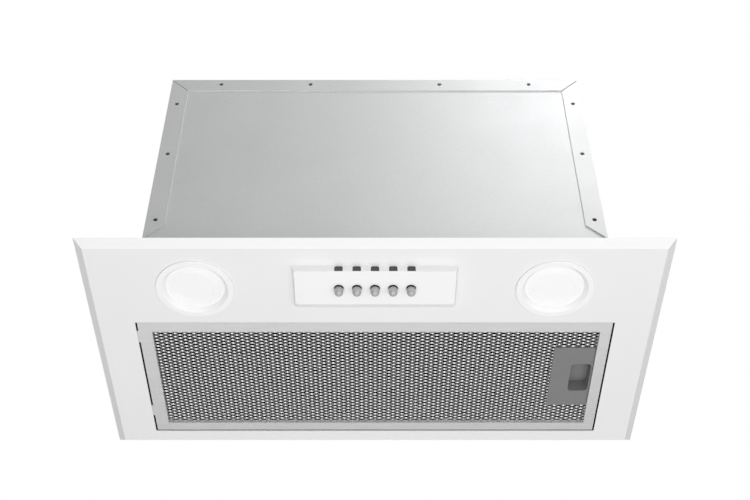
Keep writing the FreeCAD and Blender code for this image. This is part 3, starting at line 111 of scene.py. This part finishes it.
class Look:
    """A material in the making: a Principled shader, and short calls that wire procedural nodes into it."""

    def __init__(self, name, colour, roughness, metallic=0.0, **sockets):
        self.material = bpy.data.materials.new(name)
        self.material.use_nodes = True
        self.nodes = self.material.node_tree.nodes
        self.links = self.material.node_tree.links
        self.shader = self.nodes["Principled BSDF"]
        self.colour = colour
        self.shader.inputs["Base Color"].default_value = (*colour, 1.0)
        self.shader.inputs["Roughness"].default_value = roughness
        self.shader.inputs["Metallic"].default_value = metallic
        for socket, value in sockets.items():
            self.shader.inputs[socket.replace("_", " ")].default_value = value
        self.place = self.nodes.new("ShaderNodeTexCoord").outputs["Object"]

    def scaled(self, scale):
        """Object coordinates times a scale for each axis, so that a pattern can be stretched along one."""
        mapping = self.nodes.new("ShaderNodeMapping")
        mapping.inputs["Scale"].default_value = scale
        self.links.new(self.place, mapping.inputs["Vector"])
        return mapping.outputs["Vector"]

    def noise(self, scale, detail=2.0, roughness=0.5):
        """A noise pattern of so many cells to the metre along each axis."""
        noise = self.nodes.new("ShaderNodeTexNoise")
        noise.inputs["Scale"].default_value = 1.0
        noise.inputs["Detail"].default_value = detail
        noise.inputs["Roughness"].default_value = roughness
        self.links.new(self.scaled(scale), noise.inputs["Vector"])
        return noise.outputs["Fac"]

    def blend(self, first, second, share):
        """A weighted mean of two patterns."""
        mix = self.nodes.new("ShaderNodeMix")
        mix.inputs["Factor"].default_value = share
        self.links.new(first, mix.inputs["A"])
        self.links.new(second, mix.inputs["B"])
        return mix.outputs["Result"]

    def ramp(self, pattern, low, high):
        """A pattern spread so that its usual reach runs from low to high."""
        spread = self.nodes.new("ShaderNodeMapRange")
        spread.inputs["From Min"].default_value = NOISE_LOW
        spread.inputs["From Max"].default_value = NOISE_HIGH
        spread.inputs["To Min"].default_value = low
        spread.inputs["To Max"].default_value = high
        self.links.new(pattern, spread.inputs["Value"])
        return spread.outputs["Result"]

    def vary_colour(self, pattern, low, high):
        """The base colour runs from low to high times its own value with the pattern."""
        shade = self.nodes.new("ShaderNodeVectorMath")
        shade.operation = "SCALE"
        shade.inputs[0].default_value = self.colour
        self.links.new(self.ramp(pattern, low, high), shade.inputs["Scale"])
        self.links.new(shade.outputs["Vector"], self.shader.inputs["Base Color"])

    def paint_shade_above(self, height, share):
        """Painted shade: above a height on the object, the base colour falls to a share of itself."""
        axes = self.nodes.new("ShaderNodeSeparateXYZ")
        self.links.new(self.place, axes.inputs["Vector"])
        step = self.nodes.new("ShaderNodeMapRange")
        step.inputs["From Min"].default_value = height - HALF_STEP
        step.inputs["From Max"].default_value = height + HALF_STEP
        step.inputs["To Min"].default_value = 1.0
        step.inputs["To Max"].default_value = share
        self.links.new(axes.outputs["Z"], step.inputs["Value"])
        shade = self.nodes.new("ShaderNodeVectorMath")
        shade.operation = "SCALE"
        base = self.shader.inputs["Base Color"]
        self.links.new(base.links[0].from_socket, shade.inputs[0])
        self.links.new(step.outputs["Result"], shade.inputs["Scale"])
        self.links.new(shade.outputs["Vector"], base)

    def vary_roughness(self, pattern, low, high):
        """The roughness runs from low to high with the pattern."""
        self.links.new(self.ramp(pattern, low, high), self.shader.inputs["Roughness"])

    def glow_when_seen(self, strength):
        """A glow that lights nothing else, for a stage piece."""
        rays = self.nodes.new("ShaderNodeLightPath")
        glow = self.nodes.new("ShaderNodeMath")
        glow.operation = "MULTIPLY"
        glow.inputs[1].default_value = strength
        self.links.new(rays.outputs["Is Camera Ray"], glow.inputs[0])
        self.links.new(glow.outputs["Value"], self.shader.inputs["Emission Strength"])

    def bump(self, pattern, depth, strength=1.0):
        """Fine relief in the shading, so many metres deep."""
        bump = self.nodes.new("ShaderNodeBump")
        bump.inputs["Strength"].default_value = strength
        bump.inputs["Distance"].default_value = depth
        self.links.new(pattern, bump.inputs["Height"])
        self.links.new(bump.outputs["Normal"], self.shader.inputs["Normal"])


def even(per_metre):
    """The same pattern frequency along all three axes."""
    return (per_metre,) * 3


def white_enamel():
    look = Look("white_enamel", (0.86, 0.86, 0.86), 0.3, Coat_Weight=0.25, Coat_Roughness=0.12)
    peel = look.noise(even(420), detail=3.0)
    look.vary_colour(look.noise(even(9)), 0.992, 1.008)
    look.vary_roughness(peel, 0.27, 0.36)
    look.bump(peel, 0.00002, 0.35)
    return look.material


def galvanised():
    look = Look("galvanised", (0.78, 0.785, 0.79), 0.5, metallic=0.75)
    grain = look.noise(even(800), detail=3.0, roughness=0.7)
    look.vary_colour(grain, 0.93, 1.07)
    look.vary_roughness(look.blend(grain, look.noise(even(30)), 0.5), 0.44, 0.56)
    look.bump(grain, 0.00002, 0.3)
    return look.material


def zinc_fastener():
    look = Look("zinc_fastener", (0.52, 0.52, 0.53), 0.35, metallic=0.95)
    grain = look.noise(even(1500), detail=2.0)
    look.vary_colour(grain, 0.9, 1.08)
    look.vary_roughness(grain, 0.28, 0.42)
    return look.material


def filter_aluminium():
    look = Look("filter_aluminium", (0.9, 0.9, 0.905), 0.42, metallic=0.7)
    rolled = look.noise((40, 2200, 2200), detail=2.0)
    look.vary_colour(look.blend(rolled, look.noise(even(25)), 0.4), 0.96, 1.04)
    look.vary_roughness(rolled, 0.36, 0.48)
    look.bump(rolled, 0.00001, 0.3)
    return look.material


def mesh_foil():
    look = Look("mesh_foil", (0.9, 0.9, 0.9), 0.35, metallic=0.6)
    dents = look.noise(even(260), detail=2.0)
    look.vary_colour(dents, 0.9, 1.06)
    look.vary_roughness(dents, 0.28, 0.42)
    return look.material


def tray_black():
    look = Look("tray_black", (0.012, 0.012, 0.012), 0.6, Specular_IOR_Level=0.15)
    peel = look.noise(even(700), detail=2.0)
    look.vary_colour(look.noise(even(25)), 0.85, 1.2)
    look.vary_roughness(peel, 0.52, 0.66)
    look.bump(peel, 0.00004, 0.3)
    return look.material


def core_fleece():
    # painted shade: the core is near black with no specular reflection, standing in for the shade deep
    # inside the filter seen through the foil's holes; the fibres vary its tone
    look = Look("core_fleece", (0.004, 0.004, 0.004), 0.95, Specular_IOR_Level=0.0)
    fibres = look.noise(even(1800), detail=4.0, roughness=0.7)
    look.vary_colour(fibres, 0.5, 1.6)
    look.bump(fibres, 0.0003, 0.8)
    return look.material


def latch_grey():
    look = Look("latch_grey", (0.205, 0.205, 0.207), 0.55)
    grain = look.noise(even(2600), detail=3.0)
    look.vary_colour(look.noise(even(60)), 0.985, 1.015)
    look.vary_roughness(grain, 0.5, 0.62)
    look.bump(grain, 0.00002, 0.4)
    return look.material


def white_plastic():
    look = Look("white_plastic", (0.92, 0.92, 0.92), 0.36)
    grain = look.noise(even(1800), detail=2.0)
    look.vary_colour(look.noise(even(30)), 0.994, 1.004)
    look.vary_roughness(grain, 0.32, 0.42)
    look.bump(grain, 0.00001, 0.25)
    return look.material


def lens_frosted():
    look = Look("lens_frosted", (0.95, 0.95, 0.95), 0.4, Coat_Weight=0.3, Coat_Roughness=0.2)
    frost = look.noise(even(700), detail=3.0)
    look.vary_colour(frost, 0.985, 1.01)
    look.vary_roughness(frost, 0.3, 0.55)
    look.bump(frost, 0.00004, 0.5)
    return look.material


def button_silver():
    look = Look("button_silver", (0.47, 0.47, 0.475), 0.4, metallic=0.3)
    grain = look.noise(even(2400), detail=2.0)
    look.vary_colour(grain, 0.97, 1.03)
    # painted shade: near black above the cap, where the neck and the gap round it lie in shade
    look.paint_shade_above(BUTTON_SHADE_HEIGHT, 0.03)
    look.vary_roughness(grain, 0.34, 0.46)
    return look.material


def smoked_window():
    look = Look("smoked_window", (0.06, 0.06, 0.06), 0.25)
    look.vary_roughness(look.noise(even(900)), 0.16, 0.26)
    return look.material


def black_plastic():
    look = Look("black_plastic", (0.028, 0.028, 0.03), 0.5)
    grain = look.noise(even(1500), detail=3.0)
    look.vary_colour(look.noise(even(40)), 0.9, 1.15)
    look.vary_roughness(grain, 0.42, 0.6)
    look.bump(grain, 0.00004, 0.4)
    return look.material


def motor_enamel():
    look = Look("motor_enamel", (0.055, 0.056, 0.06), 0.4, metallic=0.2)
    peel = look.noise(even(600), detail=3.0)
    look.vary_colour(look.noise(even(35)), 0.9, 1.12)
    look.vary_roughness(peel, 0.32, 0.5)
    look.bump(peel, 0.00005, 0.4)
    return look.material


def shaft_steel():
    look = Look("shaft_steel", (0.62, 0.62, 0.62), 0.25, metallic=1.0)
    rings = look.noise((2500, 60, 60), detail=2.0)
    look.vary_colour(rings, 0.92, 1.05)
    look.vary_roughness(rings, 0.2, 0.34)
    return look.material


def spring_steel():
    look = Look("spring_steel", (0.5, 0.5, 0.51), 0.3, metallic=1.0)
    drawn = look.noise(even(1400), detail=2.0)
    look.vary_colour(drawn, 0.88, 1.08)
    look.vary_roughness(drawn, 0.24, 0.4)
    return look.material


def circuit_board():
    look = Look("circuit_board", (0.035, 0.15, 0.06), 0.4, Coat_Weight=0.4)
    weave = look.noise((900, 900, 90), detail=1.0)
    look.vary_colour(weave, 0.85, 1.15)
    look.vary_roughness(weave, 0.34, 0.48)
    return look.material


SLOT_MATERIALS = {
    "white_enamel": white_enamel(),
    "galvanised": galvanised(),
    "zinc_fastener": zinc_fastener(),
    "filter_aluminium": filter_aluminium(),
    "tray_black": tray_black(),
    "core_fleece": core_fleece(),
    "latch_grey": latch_grey(),
    "white_plastic": white_plastic(),
    "lens_frosted": lens_frosted(),
    "button_silver": button_silver(),
    "smoked_window": smoked_window(),
    "black_plastic": black_plastic(),
    "motor_enamel": motor_enamel(),
    "shaft_steel": shaft_steel(),
    "spring_steel": spring_steel(),
    "circuit_board": circuit_board(),
}


def dress(piece, material):
    """Gives a piece one material."""
    piece.data.materials.clear()
    piece.data.materials.append(material)


def dress_cad_nodes():
    """Each CAD node takes the material of its slot in the record."""
    for subpart in frame["record"]["subparts"]:
        dress(frame["nodes"][subpart["node"]], SLOT_MATERIALS[subpart["material_slot"]])


# ---------------------------------------------------------------- new pieces


def new_piece(name, mesh_builder, material, body, slot_name, *nodes):
    """A mesh piece that rides on a body, wears the given material and stands for CAD nodes; its slot name
    is not used.
    """
    mesh = bpy.data.meshes.new(name)
    mesh_builder.to_mesh(mesh)
    mesh_builder.free()
    piece = bpy.data.objects.new(name, mesh)
    bpy.context.scene.collection.objects.link(piece)
    dress(piece, material)
    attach(piece, body)
    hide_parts(*nodes)
    return piece


def add_diamond(build, centre, half_x, half_y):
    """One diamond of expanded foil: its hole and the four tilted half-strands round it."""
    x, y, z = centre
    scale = 2 * half_x / FRONT_PITCH[0]
    rim = [(half_x, 0.0), (0.0, half_y), (-half_x, 0.0), (0.0, -half_y)]
    outer = [build.verts.new((x + dx, y + dy, z)) for dx, dy in rim]
    tip, shoulder, half = HOLE_TIP * scale, HOLE_SHOULDER * scale, HOLE_HALF * scale
    lift = STRAND_TILT * scale
    hole = [
        (tip, 0.0, 0.0),
        (shoulder, half, lift),
        (-shoulder, half, lift),
        (-tip, 0.0, 0.0),
        (-shoulder, -half, -lift),
        (shoulder, -half, -lift),
    ]
    inner = [build.verts.new((x + dx, y + dy, z + dz)) for dx, dy, dz in hole]
    build.faces.new((outer[0], outer[1], inner[1], inner[0]))
    build.faces.new((outer[1], inner[2], inner[1]))
    build.faces.new((outer[1], outer[2], inner[3], inner[2]))
    build.faces.new((outer[2], outer[3], inner[4], inner[3]))
    build.faces.new((outer[3], inner[5], inner[4]))
    build.faces.new((outer[3], outer[0], inner[0], inner[5]))


def foil_sheet(low, high, pitch, bay):
    """Expanded foil over a box's floor plan, at its middle height, left out in a bay at its right edge."""
    build = bmesh.new()
    half_x, half_y = pitch[0] / 2, pitch[1] / 2
    columns = math.ceil((high.x - low.x) / half_x)
    rows = math.ceil((high.y - low.y) / half_y)
    height = (low.z + high.z) / 2
    for column in range(columns + 1):
        for row in range(rows + 1):
            x = low.x + column * half_x
            y = low.y + row * half_y
            covered = bay[0].x < x and bay[0].y < y < bay[1].y
            if (column + row) % 2 == 0 and not covered:
                add_diamond(build, (x, y, height), half_x, half_y)
    bmesh.ops.remove_doubles(build, verts=build.verts, dist=SAME_POINT)
    sides = ((low, (-1, 0, 0)), (low, (0, -1, 0)), (high, (1, 0, 0)), (high, (0, 1, 0)))
    for corner, outward in sides:
        cells = [*build.verts, *build.edges, *build.faces]
        bmesh.ops.bisect_plane(build, geom=cells, plane_co=corner, plane_no=outward, clear_outer=True)
    return build


def thicken(piece, thickness):
    """Gives a thin sheet its thickness, half to each side."""
    modifier = piece.modifiers.new("thickness", "SOLIDIFY")
    modifier.thickness = thickness
    modifier.offset = 0.0


def filter_foils():
    """The filter's front and back foils, each in place of its closed CAD sheet."""
    material = mesh_foil()
    overlap = Vector((BAY_OVERLAP, BAY_OVERLAP, 0.0))
    plate_low, plate_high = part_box("latch_plate")
    bay = (plate_low + overlap, plate_high - overlap)
    for side, pitch in (("front", FRONT_PITCH), ("back", BACK_PITCH)):
        node = f"filter_mesh_{side}"
        sheet = foil_sheet(*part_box(node), pitch, bay)
        piece = new_piece(f"filter_foil_{side}", sheet, material, "filter", "filter_aluminium", node)
        thicken(piece, STRAND_THICKNESS)


# ---------------------------------------------------------------- studio


def area_light(name, place, size, power):
    """A rectangular light that faces the object and that the camera doesn't see."""
    data = bpy.data.lights.new(name, "AREA")
    data.shape = "RECTANGLE"
    data.size, data.size_y = size
    data.energy = power
    lamp = bpy.data.objects.new(name, data)
    lamp.location = place
    lamp.rotation_euler = (Vector(LIGHTS_AIM) - Vector(place)).to_track_quat("-Z", "Y").to_euler()
    lamp.visible_camera = False
    bpy.context.scene.collection.objects.link(lamp)


def studio_world():
    """A white backdrop for the camera, and an even grey ambient light for everything else."""
    world = bpy.data.worlds.new("studio")
    world.use_nodes = True
    nodes, links = world.node_tree.nodes, world.node_tree.links
    fill = nodes["Background"]
    fill.inputs["Color"].default_value = (*WHITE, 1)
    fill.inputs["Strength"].default_value = AMBIENT
    paper = nodes.new("ShaderNodeBackground")
    paper.inputs["Color"].default_value = (*WHITE, 1)
    paper.inputs["Strength"].default_value = BACKDROP
    choose = nodes.new("ShaderNodeMixShader")
    rays = nodes.new("ShaderNodeLightPath")
    links.new(rays.outputs["Is Camera Ray"], choose.inputs["Fac"])
    links.new(fill.outputs["Background"], choose.inputs[1])
    links.new(paper.outputs["Background"], choose.inputs[2])
    links.new(choose.outputs["Shader"], nodes["World Output"].inputs["Surface"])
    bpy.context.scene.world = world


def pale_floor():
    """A plain pale floor, well below the object."""
    look = Look("floor_paper", (0.88, 0.88, 0.88), 0.95, Emission_Color=(*WHITE, 1))
    look.vary_colour(look.noise(even(3)), 0.985, 1.015)
    look.glow_when_seen(FLOOR_GLOW)
    build = bmesh.new()
    bmesh.ops.create_grid(build, x_segments=1, y_segments=1, size=FLOOR_HALF)
    mesh = bpy.data.meshes.new("floor")
    build.to_mesh(mesh)
    build.free()
    floor = bpy.data.objects.new("floor", mesh)
    floor.location = (0, 0, cad_low.z - FLOOR_DROP)
    bpy.context.scene.collection.objects.link(floor)
    dress(floor, look.material)


def camera():
    """Below and in front of the hood, looking up at its underside."""
    data = bpy.data.cameras.new("camera")
    data.lens = CAMERA_LENS
    data.sensor_width = SENSOR_WIDTH
    view = bpy.data.objects.new("camera", data)
    view.location = CAMERA_PLACE
    view.rotation_euler = (math.radians(90 + CAMERA_PITCH), 0, 0)
    bpy.context.scene.collection.objects.link(view)
    bpy.context.scene.camera = view


def studio():
    """World, lights, floor and camera."""
    studio_world()
    for light in LIGHTS:
        area_light(*light)
    pale_floor()
    camera()
    bpy.context.scene.view_settings.view_transform = "Standard"


# ---------------------------------------------------------------- build

dress_cad_nodes()
filter_foils()
studio()
